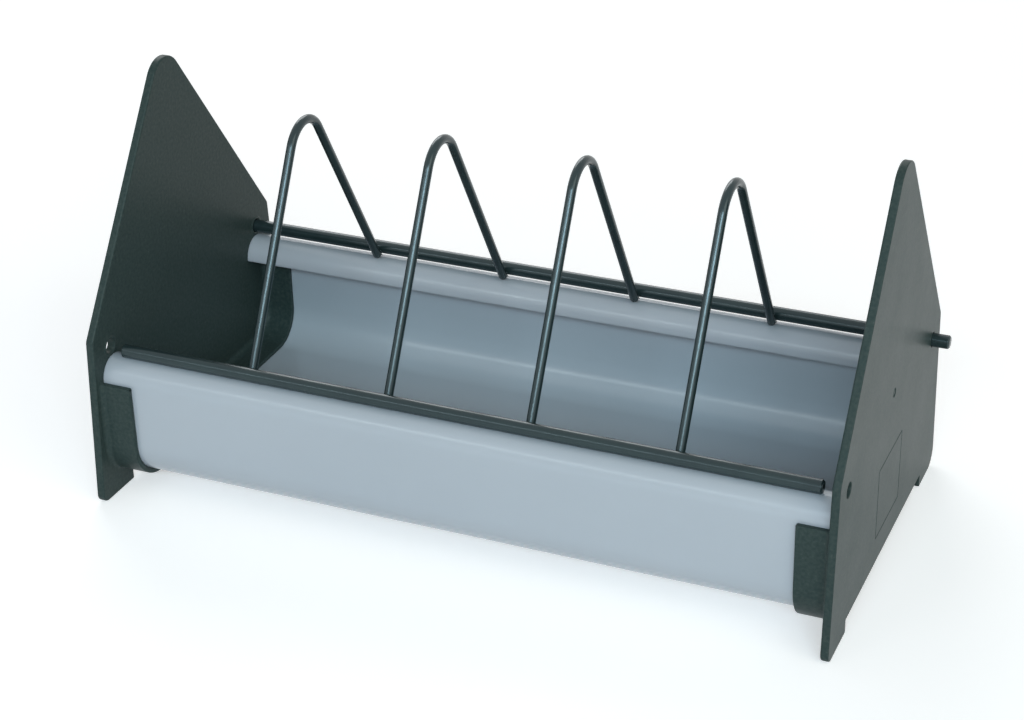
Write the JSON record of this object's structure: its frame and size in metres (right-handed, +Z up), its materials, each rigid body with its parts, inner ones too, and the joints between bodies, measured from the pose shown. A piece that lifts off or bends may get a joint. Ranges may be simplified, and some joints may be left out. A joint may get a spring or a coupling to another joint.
{
  "type": "pigeon feeder",
  "caption": "Low trough with rolled lips held between two gabled end plates, under a hinged grille of welded wire hoops that lifts back for filling.",
  "frame": {"origin": "on the ground under the middle of the feeder", "axes": "+X along the trough from the left end to the right end, -Y the front with the loose rod, +Z up"},
  "size_m": [0.345, 0.1651, 0.178],
  "materials": {
    "trough_plastic": "satin, as extruded",
    "end_plastic": "fine matt moulded grain",
    "coated_wire": "satin black coating"
  },
  "bodies": {
    "feeder": {"trough": "trough_plastic", "left_end": "end_plastic", "right_end": "end_plastic"},
    "grille": {"hinge_rod": "coated_wire", "front_rod": "coated_wire", "hoop_1": "coated_wire", "hoop_2": "coated_wire", "hoop_3": "coated_wire", "hoop_4": "coated_wire"}
  },
  "joints": [
    {"name": "grille_hinge", "type": "hinge", "parent": "feeder", "child": "grille", "pos_m": [0, 0.065, 0.0697], "axis": [1, 0, 0], "range_deg": [-162, 0]}
  ]
}
